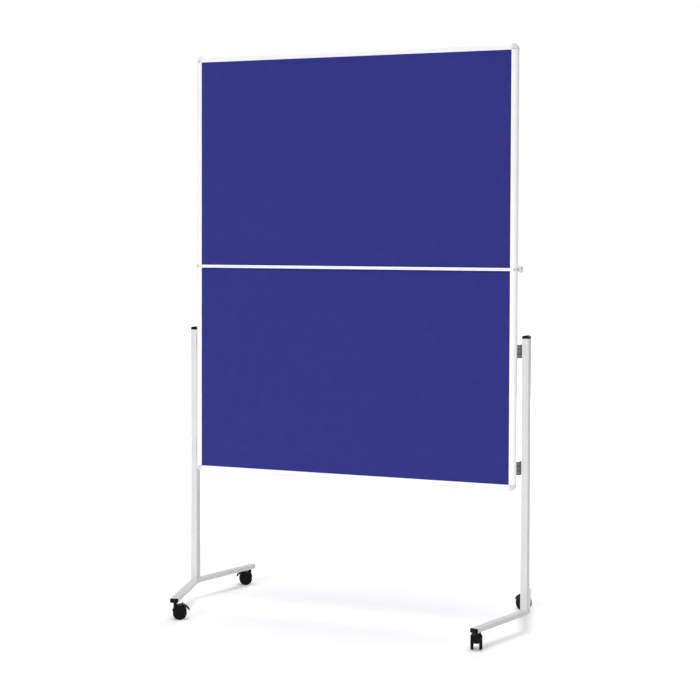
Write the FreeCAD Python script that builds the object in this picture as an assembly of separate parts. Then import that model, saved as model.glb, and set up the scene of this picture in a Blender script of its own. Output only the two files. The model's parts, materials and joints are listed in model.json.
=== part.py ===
import FreeCAD, Part
import math
import os
from FreeCAD import Placement, Rotation, Vector

os.makedirs("parts", exist_ok=True)

# Folding pinboard on two castor stands, in millimetres. X runs across the board, the pinning face
# looks along -Y, Z is up. The origin is on the floor, midway between the two uprights.

# Board, opened out flat
board_width = 1200.0
board_height = 1500.0
board_bottom = 478.0
upper_half_extra = 9.0
fold_gap = 0.5

# Frame profile: a half-round edge with two lips that hold the panel
frame_thickness = 26.0
lip_length = 10.0
frame_wall = 1.8
hinge_rail_height = 4.75
corner_proud = 0.6
spigot_length = 25.0
spigot_play = 0.15

# Panel: fibre core with felt on both faces
felt_thickness = 2.0
felt_play = 0.2
edge_play = 0.5

# Fold pivots at the two ends of the fold line
pivot_behind = 4.0
pivot_plate = 5.0
ear_radius = 6.2
ear_play = 0.5
ear_side_play = 0.3
ear_proud = 0.7
upper_ear_width = 5.7
pin_diameter = 6.0
pin_head_thickness = 2.5
running_play = 0.05
fit_play = 0.02
knob_diameter = 24.0
knob_grip = 8.0
knob_crown = 2.5
knob_flutes = 6
knob_bore_depth = 8.5

# Uprights
upright_width = 25.0
upright_depth = 30.0
upright_corner = 3.0
upright_wall = 1.5
upright_top = 991.5
stand_off = 2.0
side_gap = 11.0
cap_height = 11.0
cap_crown = 22.0
cap_plug = 18.0

# Brackets that carry the lower half on the uprights
bracket_height = 46.0
upper_bracket_level = 948.5
lower_bracket_level = 555.0
bracket_groove = 5.0
bracket_groove_depth = 4.0
bracket_waist = 4.0
bracket_set_back = 4.0
bracket_tongue = 19.0
fold_room = 3.0

# Feet: one flat tube each, bent to a V in plan
leg_width = 30.0
leg_height = 15.0
leg_corner = 4.0
leg_wall = 1.5
leg_splay = 14.7
bend_radius = 80.0
castor_half_base = 300.0
leg_overrun = 14.0
leg_nose = 3.5
nose_crown = 40.0
insert_length = 36.0
insert_play = 0.15
cope_drop = 1.3

# Castors
castor_height = 60.0
castor_trail = 16.0
wheel_diameter = 48.0
wheel_width = 10.5
wheel_spacing = 18.0
wheel_side_play = 0.5
tread_bevel = 3.0
hub_radius = 9.0
hub_recess = 1.2
hub_wall = 2.5
hood_play = 1.0
hood_wall = 2.2
hood_half_width = 16.5
hood_corner = 8.0
hood_end_angle = 165.0
axle_boss_radius = 6.0
boss_diameter = 12.0
stem_diameter = 8.0
stem_reach = 27.0
swivel_play = 0.3
axle_diameter = 6.0
pedal_half_width = 12.0
pedal_side_play = 0.4
pedal_reach = 36.0
pedal_tip_angle = 14.0
pedal_thickness = 4.5
pedal_tip_thickness = 2.5
pedal_pivot_radius = 30.4
pedal_pivot_angle = 72.0
pedal_pin_diameter = 2.4
pedal_barrel = 2.6
shoe_radius = 27.5
shoe_angle = 44.0
headings = {"front_left": 28.0, "front_right": 107.0, "back_left": 208.0, "back_right": 150.0}

# Sizes that follow from those above
frame_round = frame_thickness / 2
frame_face = frame_round + lip_length
corner_radius = frame_face
half_width = board_width / 2
board_top = board_bottom + board_height
fold_level = board_bottom + (board_height - upper_half_extra) / 2
board_y = -(upright_depth / 2 + stand_off + frame_round)
pivot_y = board_y + frame_round + pivot_behind
upright_x = half_width + side_gap + upright_width / 2
leg_middle = castor_height + leg_height / 2
leg_top = castor_height + leg_height
splay = math.radians(leg_splay)
leg_straight = (castor_half_base - bend_radius * math.sin(splay)) / math.cos(splay)
castor_x = upright_x - bend_radius * (1 - math.cos(splay)) - leg_straight * math.sin(splay)
wheel_radius = wheel_diameter / 2
wheel_inside = wheel_spacing / 2
web_half = wheel_inside - wheel_side_play
hood_inner = wheel_radius + hood_play
hood_outer = hood_inner + hood_wall

ACROSS = Vector(1, 0, 0)
DEEP = Vector(0, 1, 0)
UP = Vector(0, 0, 1)


def save(name, shape):
    shape.exportStep("parts/" + name + ".step")


def placed(shape, spot, turn=Rotation()):
    moved = shape.copy()
    moved.Placement = Placement(spot, turn).multiply(moved.Placement)
    return moved


def mirrored(shape):
    return shape.mirror(Vector(0, 0, 0), ACROSS)


def with_mirror(shape):
    return Part.makeCompound([shape, mirrored(shape)])


def box_between(low, high):
    size = high - low
    return Part.makeBox(size.x, size.y, size.z, low)


def edges_along(shape, direction):
    straight = [edge for edge in shape.Edges if edge.Curve.TypeId == "Part::GeomLine"]
    return [edge for edge in straight if abs(edge.Curve.Direction.dot(direction)) > 0.99]


def plain_bar(width, depth, length):
    return Part.makeBox(width, depth, length, Vector(-width / 2, -depth / 2, 0))


def rounded_bar(width, depth, length, corner):
    bar = plain_bar(width, depth, length)
    return bar.makeFillet(corner, edges_along(bar, UP))


def face_of(curves):
    return Part.Face(Part.Wire([curve.toShape() for curve in curves]))


# Frame profile, drawn with X inward from the board's outer edge, Y through its thickness, and run
# up along Z. Behind the lips a web closes off a hollow that takes the spigots of the fittings.

def profile_outline(length, reach):
    low = Vector(frame_round, -frame_round, 0)
    high = Vector(frame_round, frame_round, 0)
    outer_low = Vector(reach, -frame_round, 0)
    outer_high = Vector(reach, frame_round, 0)
    curves = [Part.Arc(low, Vector(0, 0, 0), high)]
    curves.append(Part.LineSegment(high, outer_high))
    curves.append(Part.LineSegment(outer_high, outer_low))
    curves.append(Part.LineSegment(outer_low, low))
    return face_of(curves).extrude(Vector(0, 0, length))


def hollow_core(length, play):
    radius = frame_round - frame_wall - play
    flat_at = radius
    half_chord = math.sqrt(radius ** 2 - (frame_round - flat_at) ** 2)
    low = Vector(flat_at, -half_chord, 0)
    high = Vector(flat_at, half_chord, 0)
    arc = Part.Arc(low, Vector(frame_round - radius, 0, 0), high)
    return face_of([arc, Part.LineSegment(high, low)]).extrude(Vector(0, 0, length))


def frame_bar(length):
    inside = frame_round - frame_wall
    pocket = Part.makeBox(lip_length + 1, 2 * inside, length, Vector(frame_round, -inside, 0))
    return profile_outline(length, frame_face).cut(pocket).cut(hollow_core(length, 0))


# Stiles stand on either side of each half; their half-round ends stop short of the fold to seat
# the pivot fittings, while the lips run on to it.

def left_stile(low, high, notch_low):
    bar = placed(frame_bar(high - low), Vector(-half_width, board_y, low))
    notch = Part.makeBox(frame_round + 1, frame_thickness, pivot_plate)
    return bar.cut(placed(notch, Vector(-half_width - 1, board_y - frame_round, notch_low)))


upper_low = fold_level + fold_gap / 2
lower_high = fold_level - fold_gap / 2
upper_stile = left_stile(upper_low, board_top - corner_radius, upper_low)
lower_stile = left_stile(board_bottom + corner_radius, lower_high, lower_high - pivot_plate)
save("upper_stile_left", upper_stile)
save("upper_stile_right", mirrored(upper_stile))
save("lower_stile_left", lower_stile)
save("lower_stile_right", mirrored(lower_stile))

# Top and bottom rails are the same bar laid across between the corner pieces.
rail_length = board_width - 2 * corner_radius
rail = frame_bar(rail_length)
rail_end = ACROSS * (rail_length / 2)
save("bottom_rail", placed(rail, rail_end + Vector(0, board_y, board_bottom), Rotation(DEEP, -90)))
save("top_rail", placed(rail, Vector(0, board_y, board_top) - rail_end, Rotation(DEEP, 90)))


# Slim channels close the two halves where they meet at the fold.

def hinge_rail(edge_level, inward):
    length = board_width - 2 * frame_face
    channel = plain_bar(length, frame_thickness, hinge_rail_height)
    pocket = plain_bar(length, frame_thickness - 2 * frame_wall, hinge_rail_height)
    channel = channel.cut(placed(pocket, UP * frame_wall))
    turn = Rotation() if inward > 0 else Rotation(ACROSS, 180)
    return placed(channel, Vector(0, board_y, edge_level), turn)


save("upper_hinge_rail", hinge_rail(upper_low, 1))
save("lower_hinge_rail", hinge_rail(lower_high, -1))


# Corner pieces: a rounded moulding a little proud of the rails, with a spigot in each hollow.

def corner_piece():
    half = frame_round + corner_proud
    reach = corner_radius + corner_proud
    centre = Vector(corner_radius, 0, corner_radius)
    low = centre + Vector(0, -half, 0)
    high = centre + Vector(0, half, 0)
    turn_low = low - Vector(reach - half, 0, 0)
    turn_high = high - Vector(reach - half, 0, 0)
    curves = [Part.LineSegment(low, turn_low)]
    curves.append(Part.Arc(turn_low, centre - Vector(reach, 0, 0), turn_high))
    curves.append(Part.LineSegment(turn_high, high))
    curves.append(Part.LineSegment(high, low))
    knuckle = face_of(curves).revolve(centre, Vector(0, -1, 0), 90)
    spigot = hollow_core(spigot_length, spigot_play)
    rising = placed(spigot, Vector(0, 0, corner_radius))
    along = placed(spigot, Vector(corner_radius + spigot_length, 0, 0), Rotation(DEEP, -90))
    return knuckle.fuse([rising, along])


bottom_corner = placed(corner_piece(), Vector(-half_width, board_y, board_bottom))
top_corner = placed(corner_piece(), Vector(half_width, board_y, board_top), Rotation(DEEP, 180))
save("bottom_corners", with_mirror(bottom_corner))
save("top_corners", with_mirror(top_corner))


# Panels: the layers slide into the channels and are notched at the corner pieces.

def panel_layer(low, high, corner_level, front, back):
    reach = half_width - frame_round - edge_play
    layer = box_between(Vector(-reach, front, low), Vector(reach, back, high))
    inner = half_width - corner_radius - felt_play
    notch = Part.makeBox(corner_radius, back - front, corner_radius, Vector(inner, front, corner_level))
    return layer.cut(notch).cut(mirrored(notch))


def save_panel(half, low, high, corner_level):
    face = frame_round - frame_wall - felt_play
    core = face - felt_thickness
    layers = {"_core": (-core, core), "_felt_front": (-face, -core), "_felt_back": (core, face)}
    for layer, (front, back) in layers.items():
        save(half + layer, panel_layer(low, high, corner_level, board_y + front, board_y + back))


corner_room = corner_radius + felt_play
panel_seat = frame_wall + felt_play
panel_edge = frame_round + edge_play
save_panel("upper", upper_low + panel_seat, board_top - panel_edge, board_top - corner_room)
lower_notch = board_bottom + corner_room - corner_radius
save_panel("lower", board_bottom + panel_edge, lower_high - panel_seat, lower_notch)

# Fold pivots: a cast plate closes each stile at the fold and carries an ear round the pivot pin,
# which lies behind the board so that the halves fold back flat against each other.
ear_inner = half_width - frame_round + ear_side_play
ear_meeting = ear_inner + upper_ear_width
ear_outer = half_width + ear_proud
knob_inner = ear_outer + ear_side_play
pivot_line = Vector(0, pivot_y, fold_level)


def pivot_cylinder(radius, start, end):
    return Part.makeCylinder(radius, end - start, pivot_line + ACROSS * start, ACROSS)


def pivot_fitting(edge_level, inward, ear_start, ear_end, bore_play):
    low = min(edge_level, edge_level + inward * pivot_plate)
    edge_half = Part.makeBox(frame_round, frame_thickness, pivot_plate, Vector(0, -frame_round, 0))
    plate = profile_outline(pivot_plate, frame_face).common(edge_half)
    spigot_low = pivot_plate if inward > 0 else -spigot_length
    spigot = placed(hollow_core(spigot_length, spigot_play), Vector(0, 0, spigot_low))
    body = placed(plate.fuse(spigot), Vector(half_width, board_y, low), Rotation(UP, 180))
    body = body.cut(pivot_cylinder(ear_radius + ear_play, ear_inner - 1, ear_outer + 1))
    neck_low = Vector(ear_start, board_y + frame_round / 3, low)
    neck = box_between(neck_low, Vector(min(ear_end, half_width), pivot_y, low + pivot_plate))
    body = body.fuse([neck, pivot_cylinder(ear_radius, ear_start, ear_end)])
    bore = pivot_cylinder(pin_diameter / 2 + bore_play, ear_inner - 1, ear_outer + 1)
    return body.cut(bore).removeSplitter()


upper_pivot = pivot_fitting(upper_low, 1, ear_inner, ear_meeting, running_play)
lower_pivot = pivot_fitting(lower_high, -1, ear_meeting + ear_side_play, ear_outer, fit_play)
save("upper_pivots", with_mirror(upper_pivot))
save("lower_pivots", with_mirror(lower_pivot))

pin_start = ear_inner - ear_side_play
pin = pivot_cylinder(pin_diameter / 2, pin_start, knob_inner + knob_bore_depth - ear_side_play)
head = pivot_cylinder(pivot_behind - felt_play, pin_start - pin_head_thickness, pin_start)
save("pivot_pins", with_mirror(pin.fuse(head).removeSplitter()))


# Clamp knobs: a fluted grip with a smaller crown, screwed on the ends of the pivot pins.

def knob():
    grip_end = knob_inner + knob_grip
    body = pivot_cylinder(knob_diameter / 2, knob_inner, grip_end)
    flute = pivot_cylinder(knob_diameter / 8, knob_inner - 1, grip_end + 1)
    flute.translate(UP * knob_diameter * 0.56)
    for count in range(knob_flutes):
        turned = flute.copy()
        turned.rotate(pivot_line, ACROSS, 360.0 * count / knob_flutes)
        body = body.cut(turned)
    body = body.fuse(pivot_cylinder(knob_diameter / 3, grip_end, grip_end + knob_crown))
    bore = pivot_cylinder(pin_diameter / 2 + running_play, knob_inner, knob_inner + knob_bore_depth)
    return body.cut(bore).removeSplitter()


save("knob_right", knob())
save("knob_left", mirrored(knob()))


# Feet: a flat tube bent in plan, with its apex under the upright and both legs swept inwards.

def bent_bar(bar):
    section = min(bar.Faces, key=lambda face: face.CenterOfMass.z)
    section = placed(section, Vector(upright_x, 0, leg_middle), Rotation(ACROSS, 90))
    centre = Vector(upright_x - bend_radius, 0, leg_middle)
    section.rotate(centre, UP, -leg_splay)
    bend = section.revolve(centre, UP, 2 * leg_splay)
    run = leg_straight + leg_overrun
    front = section.extrude(Vector(-math.sin(splay), -math.cos(splay), 0) * run)
    section.rotate(centre, UP, 2 * leg_splay)
    back = section.extrude(Vector(-math.sin(splay), math.cos(splay), 0) * run)
    return bend.fuse([front, back]).removeSplitter()


foot_outline = bent_bar(rounded_bar(leg_width, leg_height, leg_nose, leg_corner))
foot = foot_outline.cut(bent_bar(plain_bar(leg_width - 2 * leg_wall, leg_height - 2 * leg_wall, leg_nose)))
for end in (-1, 1):
    spot = Vector(castor_x, end * castor_half_base, castor_height - 1)
    foot = foot.cut(Part.makeCylinder(stem_diameter / 2 + fit_play, leg_wall + 2, spot))
save("foot_right", foot)
save("foot_left", mirrored(foot))


# End pieces: a rounded nose closes each leg and its insert holds the castor's stem.

stem_depth = leg_height - 2 * leg_wall


def leg_end():
    nose = rounded_bar(leg_height, leg_width, leg_nose, leg_corner)
    crown_spot = Vector(-leg_height, 0, leg_nose - nose_crown)
    nose = nose.common(Part.makeCylinder(nose_crown, 2 * leg_height, crown_spot, ACROSS))
    taken = 2 * (leg_wall + insert_play)
    insert = plain_bar(leg_height - taken, leg_width - taken, insert_length)
    plug = nose.fuse(placed(insert, UP * -insert_length))
    plug = placed(plug, Vector(leg_overrun, 0, leg_middle), Rotation(DEEP, 90))
    bore = Part.makeCylinder(stem_diameter / 2 + fit_play, stem_depth, UP * castor_height)
    return plug.cut(bore).removeSplitter()


def castor_spot(corner):
    depth = castor_half_base if "back" in corner else -castor_half_base
    side = castor_x if "right" in corner else -castor_x
    return Vector(side, depth, 0)


leg_angles = {"front_left": leg_splay - 90, "front_right": -90 - leg_splay}
leg_angles.update({"back_left": 90 - leg_splay, "back_right": 90 + leg_splay})
ends = []
for corner, angle in leg_angles.items():
    ends.append(placed(leg_end(), castor_spot(corner), Rotation(UP, angle)))
save("leg_ends", Part.makeCompound(ends))

# Uprights: rectangular tube, coped over the top of the foot, with a crowned cap.
upright_low = leg_top - cope_drop
upright = rounded_bar(upright_width, upright_depth, upright_top - upright_low, upright_corner)
inner_width = upright_width - 2 * upright_wall
inner_depth = upright_depth - 2 * upright_wall
upright = upright.cut(plain_bar(inner_width, inner_depth, upright_top))
upright = placed(upright, Vector(upright_x, 0, upright_low)).cut(foot_outline)
save("upright_right", upright)
save("upright_left", mirrored(upright))

crown_centre = Vector(0, -upright_depth, cap_height - cap_crown)
cap = rounded_bar(upright_width, upright_depth, cap_height, upright_corner)
cap = cap.common(Part.makeCylinder(cap_crown, 2 * upright_depth, crown_centre, DEEP))
plug = plain_bar(inner_width - 2 * insert_play, inner_depth - 2 * insert_play, cap_plug)
cap = cap.fuse(placed(plug, UP * -cap_plug))
save("upright_cap_right", placed(cap, Vector(upright_x, 0, upright_top)))
save("upright_cap_left", placed(cap, Vector(-upright_x, 0, upright_top)))


# Brackets: a waisted, ribbed block fills the gap between each stile and its upright. It saddles the
# stile's half-round edge, and its tongue lies along the upright, clear of the folded half.

def bracket_plan(inset):
    front = board_y + bracket_set_back + inset
    face = half_width + side_gap
    back = -upright_depth / 2 + bracket_tongue
    inner = half_width + fold_room
    edge_middle = half_width - frame_round / 2
    heel = Vector(edge_middle, front, 0)
    toe = Vector(half_width + side_gap / 3 - inset, front, 0)
    seat = Vector(face, -upright_depth / 3 + inset, 0)
    tongue_end = Vector(face, back, 0)
    tongue_in = Vector(inner, back, 0)
    crook = Vector(inner, board_y + frame_round + felt_play, 0)
    saddle = Vector(edge_middle, board_y + frame_round + felt_play, 0)
    corners = [heel, toe, seat, tongue_end, tongue_in, crook, saddle]
    return Part.Face(Part.makePolygon(corners + [heel]))


def bracket(level):
    rib = (bracket_height - 2 * bracket_groove) / 3
    low = level - bracket_height / 2
    block = placed(bracket_plan(bracket_groove_depth).extrude(UP * bracket_height), UP * low)
    for count in range(3):
        rib_low = UP * (low + count * (rib + bracket_groove))
        block = block.fuse(placed(bracket_plan(0).extrude(UP * rib), rib_low))
    waist_radius = bracket_height
    waist_x = half_width + side_gap + waist_radius - bracket_waist
    waist_spot = Vector(waist_x, board_y - frame_thickness, level)
    block = block.cut(Part.makeCylinder(waist_radius, 3 * frame_thickness, waist_spot, DEEP))
    stile_edge = profile_outline(bracket_height, frame_face)
    block = block.cut(placed(stile_edge, Vector(half_width, board_y, low), Rotation(UP, 180)))
    tube = rounded_bar(upright_width, upright_depth, bracket_height, upright_corner)
    return block.cut(placed(tube, Vector(upright_x, 0, low))).removeSplitter()


for place, level in (("upper", upper_bracket_level), ("lower", lower_bracket_level)):
    save("bracket_" + place + "_right", bracket(level))
    save("bracket_" + place + "_left", mirrored(bracket(level)))


# Castors, drawn with the swivel axis on Z and the wheels trailing along X. Angles are taken about
# the axle, up from the trailing side.
axle_spot = Vector(castor_trail, 0, wheel_radius)


def from_axle(radius, angle):
    turn = math.radians(angle)
    return axle_spot + Vector(radius * math.cos(turn), 0, radius * math.sin(turn))


def across_castor(radius, start, end, spot):
    return Part.makeCylinder(radius, end - start, spot + DEEP * start, DEEP)


def ring_sector(inner, outer, low_angle, high_angle, start, end):
    middle = (low_angle + high_angle) / 2
    outer_arc = Part.Arc(*[from_axle(outer, angle) for angle in (low_angle, middle, high_angle)])
    inner_arc = Part.Arc(*[from_axle(inner, angle) for angle in (high_angle, middle, low_angle)])
    top = Part.LineSegment(from_axle(outer, high_angle), from_axle(inner, high_angle))
    base = Part.LineSegment(from_axle(inner, low_angle), from_axle(outer, low_angle))
    sector = face_of([outer_arc, top, inner_arc, base])
    return placed(sector, DEEP * start).extrude(DEEP * (end - start))


pedal_spot = from_axle(pedal_pivot_radius, pedal_pivot_angle)
ear_angle = math.degrees(math.asin(pedal_barrel / pedal_pivot_radius))
hood_start_angle = pedal_pivot_angle - ear_angle
stem_low = castor_height - stem_reach


# The moulded housing: a hood over both wheels, a web between them that carries the axle, a boss
# round the stem, and two ears that hold the pedal's pin.

def castor_housing():
    hood = ring_sector(hood_inner, hood_outer, hood_start_angle, hood_end_angle, 0, 2 * hood_half_width)
    hood = placed(hood, DEEP * -hood_half_width)
    plan = rounded_bar(2 * wheel_diameter, 2 * hood_half_width, castor_height, hood_corner)
    nose = from_axle(hood_outer, hood_end_angle).x
    hood = hood.common(placed(plan, ACROSS * (nose + wheel_diameter)))
    boss_low = axle_spot.z + wheel_radius / 2
    boss_top = castor_height - swivel_play
    boss = Part.makeCylinder(boss_diameter / 2, boss_top - boss_low, UP * boss_low)
    wheel_room = across_castor(hood_inner, -hood_half_width, hood_half_width, axle_spot)
    body = hood.fuse(boss).cut(wheel_room)
    wall_middle = hood_inner + hood_wall / 2
    root_radius = (axle_boss_radius + axle_diameter / 2) / 2
    web = ring_sector(root_radius, wall_middle, hood_start_angle, hood_end_angle, -web_half, web_half)
    body = body.fuse([web, across_castor(axle_boss_radius, -web_half, web_half, axle_spot)])
    for side in (-1, 1):
        inside = side * (pedal_half_width + pedal_side_play)
        start, end = sorted([inside, inside + side * pedal_barrel])
        low_angle = pedal_pivot_angle - ear_angle
        root = ring_sector(wall_middle, pedal_pivot_radius, low_angle, low_angle + 2 * ear_angle, start, end)
        body = body.fuse([root, across_castor(pedal_barrel, start, end, pedal_spot)])
    reach = pedal_half_width + pedal_side_play + pedal_barrel / 2
    body = body.fuse(across_castor(pedal_pin_diameter / 2, -reach, reach, pedal_spot))
    stem_bore = Part.makeCylinder(stem_diameter / 2 + running_play, castor_height)
    body = body.cut(placed(stem_bore, UP * (stem_low - swivel_play)))
    axle_bore = across_castor(axle_diameter / 2 + fit_play, -web_half, web_half, axle_spot)
    return body.cut(axle_bore).removeSplitter()


# The brake pedal: a flap that winds away from the hood, a barrel round the pin, and two shoes
# that press on the wheels when the flap is trodden down.

def castor_pedal():
    angles = (pedal_pivot_angle, (pedal_pivot_angle + pedal_tip_angle) / 2, pedal_tip_angle)
    radii = (pedal_pivot_radius, (pedal_pivot_radius + pedal_reach) / 2, pedal_reach)
    above = [from_axle(radius, angle) for radius, angle in zip(radii, angles)]
    depths = (pedal_barrel / 2, pedal_thickness, pedal_tip_thickness)
    below = [from_axle(*edge) for edge in zip([r - d for r, d in zip(radii, depths)], angles)]
    curves = [Part.Arc(*above), Part.LineSegment(above[2], below[2])]
    curves += [Part.Arc(*reversed(below)), Part.LineSegment(below[0], above[0])]
    flap = placed(face_of(curves), DEEP * -pedal_half_width).extrude(DEEP * 2 * pedal_half_width)
    plan = rounded_bar(2 * pedal_reach, 2 * pedal_half_width, castor_height, pedal_half_width / 2)
    flap = flap.common(placed(plan, ACROSS * (above[2].x - pedal_reach)))
    barrel = across_castor(pedal_barrel, -pedal_half_width, pedal_half_width, pedal_spot)
    shoe_top = radii[1] - 0.75 * pedal_thickness
    shoe_sides = (shoe_angle - ear_angle, shoe_angle + ear_angle)
    shoe_start = wheel_inside + wheel_side_play
    shoe = ring_sector(shoe_radius, shoe_top, *shoe_sides, shoe_start, pedal_half_width)
    pedal = flap.fuse([barrel, shoe, shoe.mirror(Vector(0, 0, 0), DEEP)])
    pin_hole = pedal_pin_diameter / 2 + running_play
    pin_hole = across_castor(pin_hole, -pedal_half_width, pedal_half_width, pedal_spot)
    return pedal.cut(pin_hole).removeSplitter()


# Wheels: a tread bevelled at its outer edge, and a blind bore behind a recessed hub.
wheel_outside = wheel_inside + wheel_width
hub_face = wheel_outside - hub_recess
bore_end = hub_face - hub_wall


def castor_wheel():
    bore = axle_diameter / 2 + running_play
    outline = [(0, hub_face), (hub_radius, hub_face), (hub_radius, wheel_outside)]
    outline += [(wheel_radius - tread_bevel, wheel_outside), (wheel_radius, wheel_outside - tread_bevel)]
    outline += [(wheel_radius, wheel_inside), (bore, wheel_inside), (bore, bore_end), (0, bore_end)]
    points = [axle_spot + Vector(0, depth, radius) for radius, depth in outline]
    section = Part.Face(Part.makePolygon(points + [points[0]]))
    return section.revolve(axle_spot, DEEP, 360)


axle_reach = bore_end - wheel_side_play
wheel = castor_wheel()
pieces = {"housing": castor_housing(), "pedal": castor_pedal()}
pieces["axle"] = across_castor(axle_diameter / 2, -axle_reach, axle_reach, axle_spot)
pieces["wheel_a"] = wheel
pieces["wheel_b"] = wheel.mirror(Vector(0, 0, 0), DEEP)
for corner, heading in headings.items():
    for piece, shape in pieces.items():
        save("castor_" + corner + "_" + piece, placed(shape, castor_spot(corner), Rotation(UP, heading)))

# Stems: fixed upright in the legs, for the housings to turn on.
stem_length = stem_reach + stem_depth - swivel_play
stem = Part.makeCylinder(stem_diameter / 2, stem_length, UP * stem_low)
save("castor_stems", Part.makeCompound([placed(stem, castor_spot(corner)) for corner in headings]))
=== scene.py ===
import bmesh
import bpy
import json
import math
from mathutils import Matrix, Vector, noise


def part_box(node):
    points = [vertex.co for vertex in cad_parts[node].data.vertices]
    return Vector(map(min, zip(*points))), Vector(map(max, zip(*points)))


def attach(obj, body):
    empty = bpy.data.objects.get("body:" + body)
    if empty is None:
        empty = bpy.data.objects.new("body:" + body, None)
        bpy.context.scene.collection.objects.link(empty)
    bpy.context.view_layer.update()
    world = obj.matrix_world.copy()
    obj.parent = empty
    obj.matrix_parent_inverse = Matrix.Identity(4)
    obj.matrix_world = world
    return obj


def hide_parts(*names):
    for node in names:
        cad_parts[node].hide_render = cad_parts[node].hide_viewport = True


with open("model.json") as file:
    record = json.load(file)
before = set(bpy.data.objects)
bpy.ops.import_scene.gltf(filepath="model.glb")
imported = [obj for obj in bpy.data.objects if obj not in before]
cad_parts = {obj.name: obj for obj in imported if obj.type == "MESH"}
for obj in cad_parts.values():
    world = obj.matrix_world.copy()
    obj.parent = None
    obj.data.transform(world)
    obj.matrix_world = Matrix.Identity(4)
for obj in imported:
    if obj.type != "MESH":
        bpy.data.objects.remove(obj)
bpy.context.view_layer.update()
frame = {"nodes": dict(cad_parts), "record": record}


# Feet: one flat steel tube a side, bent to a V in plan and finished in light grey powder coat.
# The baked coat has a fine orange-peel skin and takes small scuffs where shoes rub along it.

def new_finish(name, roughness, specular=0.5):
    finish = bpy.data.materials.new(name)
    finish.use_nodes = True
    shader = finish.node_tree.nodes["Principled BSDF"]
    shader.inputs["Roughness"].default_value = roughness
    shader.inputs["Specular IOR Level"].default_value = specular
    return finish


def grain(finish, scale, detail=2.0, stretch=(1, 1, 1), distortion=0.0):
    nodes, links = finish.node_tree.nodes, finish.node_tree.links
    place = nodes.new("ShaderNodeTexCoord")
    pull = nodes.new("ShaderNodeMapping")
    pull.inputs["Scale"].default_value = stretch
    pattern = nodes.new("ShaderNodeTexNoise")
    pattern.inputs["Scale"].default_value = scale
    pattern.inputs["Detail"].default_value = detail
    pattern.inputs["Distortion"].default_value = distortion
    links.new(place.outputs["Object"], pull.inputs["Vector"])
    links.new(pull.outputs["Vector"], pattern.inputs["Vector"])
    return pattern.outputs["Fac"]


def mixed_patterns(finish, first, second, share):
    blend = finish.node_tree.nodes.new("ShaderNodeMix")
    blend.inputs["Factor"].default_value = share
    finish.node_tree.links.new(first, blend.inputs["A"])
    finish.node_tree.links.new(second, blend.inputs["B"])
    return blend.outputs["Result"]


def colour_by(finish, pattern, at_low, at_high, low=0.3, high=0.7):
    ramp = finish.node_tree.nodes.new("ShaderNodeValToRGB")
    for stop, place, colour in zip(ramp.color_ramp.elements, (low, high), (at_low, at_high)):
        stop.position = place
        stop.color = (*colour, 1)
    finish.node_tree.links.new(pattern, ramp.inputs["Fac"])
    shader = finish.node_tree.nodes["Principled BSDF"]
    finish.node_tree.links.new(ramp.outputs["Color"], shader.inputs["Base Color"])


def roughness_by(finish, pattern, smooth, rough, low=0.3, high=0.7):
    spread = finish.node_tree.nodes.new("ShaderNodeMapRange")
    for socket, value in zip(("From Min", "From Max", "To Min", "To Max"), (low, high, smooth, rough)):
        spread.inputs[socket].default_value = value
    finish.node_tree.links.new(pattern, spread.inputs["Value"])
    shader = finish.node_tree.nodes["Principled BSDF"]
    finish.node_tree.links.new(spread.outputs["Result"], shader.inputs["Roughness"])


def relief_by(finish, pattern, depth, strength=1.0):
    shader = finish.node_tree.nodes["Principled BSDF"]
    bump = finish.node_tree.nodes.new("ShaderNodeBump")
    bump.inputs["Distance"].default_value = depth
    bump.inputs["Strength"].default_value = strength
    if shader.inputs["Normal"].is_linked:
        under = shader.inputs["Normal"].links[0].from_socket
        finish.node_tree.links.new(under, bump.inputs["Normal"])
    finish.node_tree.links.new(pattern, bump.inputs["Height"])
    finish.node_tree.links.new(bump.outputs["Normal"], shader.inputs["Normal"])


def dress(finish, *nodes):
    for node in nodes:
        frame["nodes"][node].material_slots[0].material = finish


grey_coat = new_finish("grey_powder_coat", roughness=0.42)
coat_scuffs = grain(grey_coat, scale=9, detail=5, distortion=0.6)
coat_skin = grain(grey_coat, scale=900, detail=2)
colour_by(grey_coat, coat_scuffs, (0.70, 0.707, 0.711), (0.765, 0.772, 0.776), low=0.25, high=0.75)
roughness_by(grey_coat, coat_scuffs, smooth=0.36, rough=0.52)
relief_by(grey_coat, coat_skin, depth=0.00012, strength=0.5)
dress(grey_coat, "foot_left", "foot_right")


# Leg ends: black moulded plugs that close the open ends of the feet and hold the castor stems.
# The noses are slightly crowned, their edges are eased, and the moulding has a fine spark grain.

carried_by = {}
for body, nodes in frame["record"]["behaviour"]["bodies"].items():
    carried_by.update({node: body for node in nodes})
weld_gap = 0.00001
flat_angle = math.radians(1)
corner_angle = math.radians(38)


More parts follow.
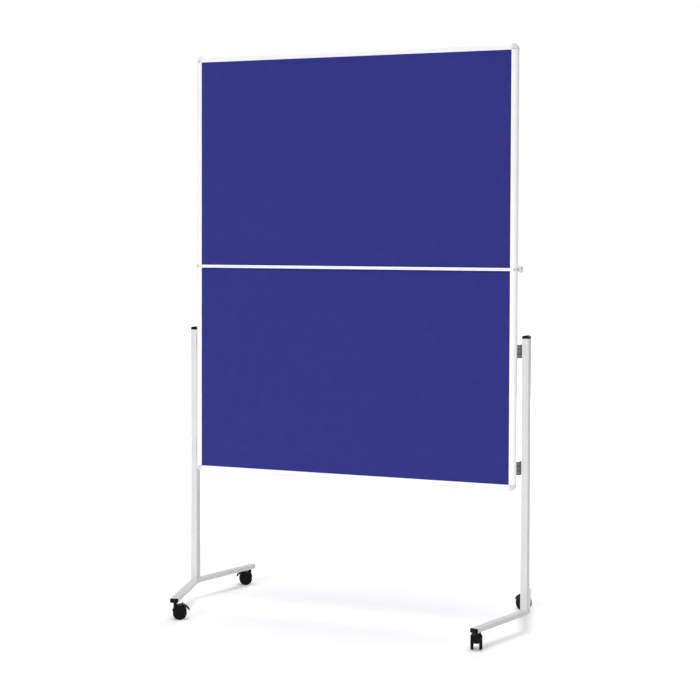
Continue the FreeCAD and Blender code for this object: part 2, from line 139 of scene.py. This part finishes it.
def eased(node, width, finish):
    piece = bpy.data.objects.new(node + "_eased", frame["nodes"][node].data.copy())
    bpy.context.scene.collection.objects.link(piece)
    piece.data.attributes.remove(piece.data.attributes["custom_normal"])
    shape = bmesh.new()
    shape.from_mesh(piece.data)
    bmesh.ops.remove_doubles(shape, verts=shape.verts, dist=weld_gap)
    bmesh.ops.dissolve_limit(shape, angle_limit=flat_angle, verts=shape.verts, edges=shape.edges)
    corners = [edge for edge in shape.edges if edge.is_manifold and edge.is_convex]
    corners = [edge for edge in corners if edge.calc_face_angle() > corner_angle]
    bmesh.ops.bevel(shape, geom=corners, offset=width, offset_type="OFFSET", affect="EDGES",
                    segments=2, profile=0.5, clamp_overlap=True, material=-1)
    for face in shape.faces:
        face.smooth = True
    for edge in shape.edges:
        edge.smooth = True
    shape.to_mesh(piece.data)
    shape.free()
    weighted = piece.modifiers.new("flat_faces_lead", "WEIGHTED_NORMAL")
    weighted.weight = 100
    piece.data.materials.clear()
    piece.data.materials.append(finish)
    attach(piece, carried_by[node])
    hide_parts(node)


black_moulding = new_finish("black_moulding", roughness=0.42, specular=0.12)
moulding_skin = grain(black_moulding, scale=1600, detail=1)
moulding_flow = grain(black_moulding, scale=60, detail=3)
colour_by(black_moulding, moulding_flow, (0.003, 0.003, 0.0033), (0.007, 0.007, 0.0073))
roughness_by(black_moulding, moulding_flow, smooth=0.35, rough=0.5)
relief_by(black_moulding, moulding_skin, depth=0.00008, strength=0.5)
nose_easing = 0.0008
eased("leg_ends", nose_easing, black_moulding)


# Castors: a black nylon housing with a hood over twin wheels, turning on a steel stem, and a
# brake pedal hinged in two ears. Treads are scuffed dull, and the stems and axles are bright steel.

wheel_nylon = new_finish("wheel_nylon", roughness=0.5, specular=0.1)
tread_dust = grain(wheel_nylon, scale=140, detail=5)
tread_marks = grain(wheel_nylon, scale=1400, detail=1)
colour_by(wheel_nylon, tread_dust, (0.003, 0.003, 0.0033), (0.011, 0.0107, 0.0105), low=0.38, high=0.78)
roughness_by(wheel_nylon, tread_dust, smooth=0.42, rough=0.72)
relief_by(wheel_nylon, tread_marks, depth=0.0001, strength=0.5)
bright_steel = new_finish("bright_steel", roughness=0.28)
bright_steel.node_tree.nodes["Principled BSDF"].inputs["Metallic"].default_value = 1.0
turning_marks = grain(bright_steel, scale=700, detail=2, stretch=(1, 1, 4))
colour_by(bright_steel, turning_marks, (0.50, 0.50, 0.51), (0.62, 0.62, 0.63))
roughness_by(bright_steel, turning_marks, smooth=0.22, rough=0.36)
housing_easing, pedal_easing, tread_easing = 0.0004, 0.0005, 0.0006
for place in ("front_left", "front_right", "back_left", "back_right"):
    castor = "castor_" + place
    eased(castor + "_housing", housing_easing, black_moulding)
    eased(castor + "_pedal", pedal_easing, black_moulding)
    eased(castor + "_wheel_a", tread_easing, wheel_nylon)
    eased(castor + "_wheel_b", tread_easing, wheel_nylon)
    dress(bright_steel, castor + "_axle")
dress(bright_steel, "castor_stems")


# Uprights: rectangular steel tube in the same grey coat, coped over the feet, with a black domed
# cap pressed into the top of each.

dress(grey_coat, "upright_left", "upright_right")
cap_easing = 0.0008
for side in ("left", "right"):
    eased("upright_cap_" + side, cap_easing, black_moulding)


# Brackets: waisted, ribbed blocks in dark grey glass-filled nylon, which saddle the stiles of the
# lower half and lie along the uprights. The glass fill gives a dull, mottled skin.

bracket_nylon = new_finish("bracket_nylon", roughness=0.6, specular=0.35)
glass_mottle = grain(bracket_nylon, scale=260, detail=4, distortion=0.8)
glass_skin = grain(bracket_nylon, scale=1500, detail=1)
colour_by(bracket_nylon, glass_mottle, (0.20, 0.198, 0.202), (0.28, 0.277, 0.282))
roughness_by(bracket_nylon, glass_mottle, smooth=0.52, rough=0.68)
relief_by(bracket_nylon, glass_skin, depth=0.0001, strength=0.5)
bracket_easing = 0.0007
for side in ("left", "right"):
    for level in ("upper", "lower"):
        eased("bracket_" + level + "_" + side, bracket_easing, bracket_nylon)


# Frame: extruded aluminium, anodised to a pale satin silver. Stiles and rails have a half-round
# edge and flat lips, and the die leaves faint lines that run the length of each bar.

def satin_bar(name, along):
    finish = new_finish(name, roughness=0.38)
    finish.node_tree.nodes["Principled BSDF"].inputs["Metallic"].default_value = 0.25
    die_lines = grain(finish, scale=1400, detail=2, stretch=along)
    cloud = grain(finish, scale=5, detail=3)
    colour_by(finish, cloud, (0.88, 0.885, 0.89), (0.925, 0.93, 0.935))
    roughness_by(finish, die_lines, smooth=0.32, rough=0.46)
    relief_by(finish, die_lines, depth=0.00003, strength=0.35)
    return finish


upright_bars = satin_bar("satin_silver_upright", (1, 1, 0.004))
level_bars = satin_bar("satin_silver_level", (0.004, 1, 1))
dress(upright_bars, "upper_stile_left", "upper_stile_right", "lower_stile_left", "lower_stile_right")
dress(level_bars, "top_rail", "bottom_rail", "upper_hinge_rail", "lower_hinge_rail")


# Corner pieces: light grey moulded plastic knuckles with spigots pushed into the rails and stiles.
# A small socket screw in the face of each one draws its spigots tight.

corner_grey = new_finish("corner_grey", roughness=0.5, specular=0.4)
corner_flow = grain(corner_grey, scale=45, detail=3)
corner_skin = grain(corner_grey, scale=1200, detail=1)
colour_by(corner_grey, corner_flow, (0.74, 0.745, 0.75), (0.80, 0.805, 0.81))
roughness_by(corner_grey, corner_flow, smooth=0.44, rough=0.58)
relief_by(corner_grey, corner_skin, depth=0.00008, strength=0.5)
dress(corner_grey, "top_corners", "bottom_corners")

screw_steel = new_finish("screw_steel", roughness=0.35)
screw_steel.node_tree.nodes["Principled BSDF"].inputs["Metallic"].default_value = 0.9
screw_marks = grain(screw_steel, scale=2500, detail=2)
colour_by(screw_steel, screw_marks, (0.36, 0.36, 0.37), (0.48, 0.48, 0.49))
roughness_by(screw_steel, screw_marks, smooth=0.28, rough=0.45)
screw_radius = 0.0027
screw_lift = 0.0001
head_height = 0.0004
socket_depth = 0.00035
bevel_share, flange_share, socket_share = 0.2, 0.3, 0.08
screw_from_side = 0.0155
screw_from_end = 0.02
board_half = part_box("upper_stile_right")[1].x
corner_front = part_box("top_corners")[0].y
board_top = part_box("top_rail")[1].z
board_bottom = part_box("bottom_rail")[0].z


def corner_screw(name, across, level, body):
    shape = bmesh.new()
    bmesh.ops.create_circle(shape, cap_ends=True, segments=24, radius=screw_radius)
    bmesh.ops.inset_region(shape, faces=shape.faces[:], use_boundary=True,
                           thickness=screw_radius * bevel_share, depth=head_height)
    middle = max(shape.faces, key=lambda face: face.calc_area())
    bmesh.ops.inset_region(shape, faces=[middle], thickness=screw_radius * flange_share, depth=0.0)
    discs = [face for face in shape.faces if len(face.verts) > 4]
    middle = max(discs, key=lambda face: face.calc_area())
    bmesh.ops.inset_region(shape, faces=[middle], thickness=screw_radius * socket_share,
                           depth=-socket_depth)
    seat = Matrix.Translation((across, corner_front - screw_lift, level))
    place = seat @ Matrix.Rotation(math.pi / 2, 4, "X")
    bmesh.ops.transform(shape, matrix=place, verts=shape.verts)
    mesh = bpy.data.meshes.new(name)
    shape.to_mesh(mesh)
    shape.free()
    piece = bpy.data.objects.new(name, mesh)
    bpy.context.scene.collection.objects.link(piece)
    mesh.materials.append(screw_steel)
    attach(piece, body)


for side, across in (("left", screw_from_side - board_half), ("right", board_half - screw_from_side)):
    corner_screw("top_corner_screw_" + side, across, board_top - screw_from_end, "upper_half")
    corner_screw("bottom_corner_screw_" + side, across, board_bottom + screw_from_end, "stand")


# Panels: a soft fibre core with a sheet of needled felt glued to each face, slid into the channels
# of the frame. The felt is dyed dark blue and shows short tangled fibres from close to.

raw_fibre = new_finish("raw_fibre", roughness=0.9, specular=0.2)
fibre_flecks = grain(raw_fibre, scale=500, detail=4, stretch=(1, 1, 3))
colour_by(raw_fibre, fibre_flecks, (0.30, 0.21, 0.12), (0.48, 0.36, 0.23))
relief_by(raw_fibre, fibre_flecks, depth=0.0004, strength=0.6)
dress(raw_fibre, "upper_core", "lower_core")

blue_felt = new_finish("blue_felt", roughness=0.95, specular=0.15)
felt_shader = blue_felt.node_tree.nodes["Principled BSDF"]
felt_shader.inputs["Sheen Weight"].default_value = 0.12
felt_shader.inputs["Sheen Roughness"].default_value = 0.6
felt_shader.inputs["Sheen Tint"].default_value = (0.45, 0.46, 0.9, 1)
fibres_across = grain(blue_felt, scale=420, detail=4, stretch=(1, 1, 5), distortion=2.5)
fibres_up = grain(blue_felt, scale=420, detail=4, stretch=(5, 1, 1), distortion=2.5)
fibres = mixed_patterns(blue_felt, fibres_across, fibres_up, share=0.5)
felt_cloud = grain(blue_felt, scale=28, detail=4)
felt_tone = mixed_patterns(blue_felt, fibres, felt_cloud, share=0.2)
colour_by(blue_felt, felt_tone, (0.023, 0.025, 0.186), (0.041, 0.045, 0.276))
relief_by(blue_felt, fibres, depth=0.0006, strength=0.7)
relief_by(blue_felt, felt_cloud, depth=0.0003, strength=0.4)
felt_notch = 0.0097
felt_columns, felt_rows = 64, 40
ripple_rate = 14
ripple_height = 0.00012


def felt_face(half, face, notch_level):
    node = half + "_felt_" + face
    low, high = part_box(node)
    shape = bmesh.new()
    bmesh.ops.create_grid(shape, x_segments=felt_columns, y_segments=felt_rows, size=0.5)
    thickness = high.y - low.y
    size = Matrix.Diagonal((high.x - low.x, high.z - low.z, 1, 1))
    middle = Matrix.Translation(((low.x + high.x) / 2, low.y, (low.z + high.z) / 2))
    place = middle @ Matrix.Rotation(math.pi / 2, 4, "X") @ size
    bmesh.ops.transform(shape, matrix=place, verts=shape.verts)
    inner = high.x - felt_notch
    sideways, upward = Vector((1, 0, 0)), Vector((0, 0, 1))
    sides = ((sideways * inner, sideways), (sideways * -inner, sideways))
    for point, normal in (*sides, (upward * notch_level, upward)):
        every = shape.verts[:] + shape.edges[:] + shape.faces[:]
        bmesh.ops.bisect_plane(shape, geom=every, plane_co=point, plane_no=normal)
    outward = 1 if half == "upper" else -1
    cut = [part for part in shape.faces if abs(part.calc_center_median().x) > inner]
    cut = [part for part in cut if (part.calc_center_median().z - notch_level) * outward > 0]
    bmesh.ops.delete(shape, geom=cut, context="FACES")
    backing = bmesh.ops.extrude_face_region(shape, geom=shape.faces[:], use_keep_orig=True)
    moved = [part for part in backing["geom"] if isinstance(part, bmesh.types.BMVert)]
    bmesh.ops.translate(shape, verts=moved, vec=(0, thickness, 0))
    bmesh.ops.recalc_face_normals(shape, faces=shape.faces)
    shown = low.y if face == "front" else high.y
    for point in shape.verts:
        if abs(point.co.y - shown) < thickness / 4:
            wave = noise.noise(point.co * ripple_rate) * ripple_height
            point.co.y += wave if face == "front" else -wave
    for part in shape.faces:
        part.smooth = abs(part.normal.y) > 0.5
    mesh = bpy.data.meshes.new(node + "_sheet")
    shape.to_mesh(mesh)
    shape.free()
    piece = bpy.data.objects.new(node + "_sheet", mesh)
    bpy.context.scene.collection.objects.link(piece)
    mesh.materials.append(blue_felt)
    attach(piece, carried_by[node])
    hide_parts(node)


for face in ("front", "back"):
    felt_face("upper", face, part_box("upper_felt_front")[1].z - felt_notch)
    felt_face("lower", face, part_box("lower_felt_front")[0].z + felt_notch)


# Fold pivots: die-cast plates in the ends of the stiles turn on steel pins behind the board, and a
# fluted light grey knob on each pin clamps the fold.

cast_alloy = new_finish("cast_alloy", roughness=0.5)
cast_alloy.node_tree.nodes["Principled BSDF"].inputs["Metallic"].default_value = 0.6
cast_skin = grain(cast_alloy, scale=800, detail=3)
colour_by(cast_alloy, cast_skin, (0.60, 0.605, 0.61), (0.70, 0.705, 0.71))
roughness_by(cast_alloy, cast_skin, smooth=0.42, rough=0.6)
relief_by(cast_alloy, cast_skin, depth=0.0001, strength=0.5)
dress(cast_alloy, "upper_pivots", "lower_pivots")
dress(bright_steel, "pivot_pins")
knob_moulding = new_finish("knob_moulding", roughness=0.45, specular=0.45)
knob_flow = grain(knob_moulding, scale=70, detail=3)
knob_skin = grain(knob_moulding, scale=1500, detail=1)
colour_by(knob_moulding, knob_flow, (0.76, 0.765, 0.76), (0.83, 0.835, 0.83))
roughness_by(knob_moulding, knob_flow, smooth=0.38, rough=0.52)
relief_by(knob_moulding, knob_skin, depth=0.00008, strength=0.5)
knob_easing = 0.0007
for side in ("left", "right"):
    eased("knob_" + side, knob_easing, knob_moulding)


# Studio: a white floor that keeps the soft shadows, white all round, a wide light overhead, lower
# ones from the front and the back, and the camera to the right of the board at chest height.

def background_seen(tree):
    paths = tree.nodes.new("ShaderNodeLightPath")
    seen = paths.outputs["Is Camera Ray"]
    for other in ("Is Glossy Ray", "Is Transmission Ray"):
        either = tree.nodes.new("ShaderNodeMath")
        either.operation = "MAXIMUM"
        tree.links.new(seen, either.inputs[0])
        tree.links.new(paths.outputs[other], either.inputs[1])
        seen = either.outputs["Value"]
    return seen


floor_half = 60
shape = bmesh.new()
bmesh.ops.create_grid(shape, x_segments=1, y_segments=1, size=floor_half)
floor_mesh = bpy.data.meshes.new("studio_floor")
shape.to_mesh(floor_mesh)
shape.free()
floor = bpy.data.objects.new("studio_floor", floor_mesh)
bpy.context.scene.collection.objects.link(floor)
floor_white = bpy.data.materials.new("floor_white")
floor_white.use_nodes = True
floor_tree = floor_white.node_tree
floor_tree.nodes.remove(floor_tree.nodes["Principled BSDF"])
lit = floor_tree.nodes.new("ShaderNodeBsdfDiffuse")
lit.inputs["Color"].default_value = (0.98, 0.98, 0.98, 1)
glow = floor_tree.nodes.new("ShaderNodeEmission")
place = floor_tree.nodes.new("ShaderNodeTexCoord")
reach = floor_tree.nodes.new("ShaderNodeVectorMath")
reach.operation = "LENGTH"
fade = floor_tree.nodes.new("ShaderNodeMapRange")
fade.interpolation_type = "SMOOTHSTEP"
fade.inputs["From Min"].default_value = 0.9
fade.inputs["From Max"].default_value = 3.5
fade.inputs["To Min"].default_value = 0.24
fade.inputs["To Max"].default_value = 1.0
# Near the board the floor also glows for every ray but camera, glossy and transmission ones: a painted
# bounce light from a part that is no lamp. It lights the feet, castors and undersides from below and
# fades out between 0.9 and 1.6 m.
painted_bounce_glow = floor_tree.nodes.new("ShaderNodeMapRange")
painted_bounce_glow.inputs["From Min"].default_value = 0.9
painted_bounce_glow.inputs["From Max"].default_value = 1.6
painted_bounce_glow.inputs["To Min"].default_value = 0.25
painted_bounce_glow.inputs["To Max"].default_value = 0.0
level = floor_tree.nodes.new("ShaderNodeMix")
both = floor_tree.nodes.new("ShaderNodeAddShader")
floor_tree.links.new(place.outputs["Object"], reach.inputs[0])
floor_tree.links.new(reach.outputs["Value"], fade.inputs["Value"])
floor_tree.links.new(reach.outputs["Value"], painted_bounce_glow.inputs["Value"])
floor_tree.links.new(background_seen(floor_tree), level.inputs["Factor"])
floor_tree.links.new(painted_bounce_glow.outputs["Result"], level.inputs["A"])
floor_tree.links.new(fade.outputs["Result"], level.inputs["B"])
floor_tree.links.new(level.outputs["Result"], glow.inputs["Strength"])
floor_tree.links.new(lit.outputs["BSDF"], both.inputs[0])
floor_tree.links.new(glow.outputs["Emission"], both.inputs[1])
floor_tree.links.new(both.outputs["Shader"], floor_tree.nodes["Material Output"].inputs["Surface"])
floor_mesh.materials.append(floor_white)

studio = bpy.data.worlds.new("studio")
studio.use_nodes = True
sky = studio.node_tree.nodes["Background"]
sky.inputs["Color"].default_value = (1, 1, 1, 1)
strength = studio.node_tree.nodes.new("ShaderNodeMapRange")
strength.inputs["To Min"].default_value = 0.14
strength.inputs["To Max"].default_value = 1.0
studio.node_tree.links.new(background_seen(studio.node_tree), strength.inputs["Value"])
studio.node_tree.links.new(strength.outputs["Result"], sky.inputs["Strength"])
bpy.context.scene.world = studio


def soft_lamp(name, spot, aim, width, power):
    lamp = bpy.data.lights.new(name, "AREA")
    lamp.shape = "DISK"
    lamp.size = width
    lamp.energy = power
    holder = bpy.data.objects.new(name, lamp)
    holder.location = spot
    holder.rotation_euler = (Vector(aim) - Vector(spot)).to_track_quat("-Z", "Y").to_euler()
    holder.visible_glossy = False
    bpy.context.scene.collection.objects.link(holder)


soft_lamp("overhead_light", (0.3, -0.3, 12), (0.3, 0, 0), width=10.5, power=1020)
soft_lamp("front_light", (-1.4, -7.5, 1.5), (0, 0, 1.1), width=3.0, power=264)
soft_lamp("back_light", (-1.0, 7.5, 2.2), (0, 0, 1.1), width=3.0, power=190)

yaw, pitch, roll = math.radians(21.982), math.radians(1.977), math.radians(0.181)
ahead = Vector((-math.sin(yaw) * math.cos(pitch), math.cos(yaw) * math.cos(pitch), -math.sin(pitch)))
level_right = Vector((math.cos(yaw), math.sin(yaw), 0))
level_up = level_right.cross(ahead)
right = math.cos(roll) * level_right + math.sin(roll) * level_up
up = math.cos(roll) * level_up - math.sin(roll) * level_right
turn = Matrix((right, up, -ahead)).transposed()
lens = bpy.data.cameras.new("photo_camera")
lens.sensor_width = 36
lens.lens = 81.782
lens.shift_y = -60 / 700
camera = bpy.data.objects.new("photo_camera", lens)
camera.location = (2.0684, -5.1648, 1.3368)
camera.rotation_euler = turn.to_euler()
bpy.context.scene.collection.objects.link(camera)
bpy.context.scene.camera = camera
bpy.context.scene.view_settings.view_transform = "Standard"
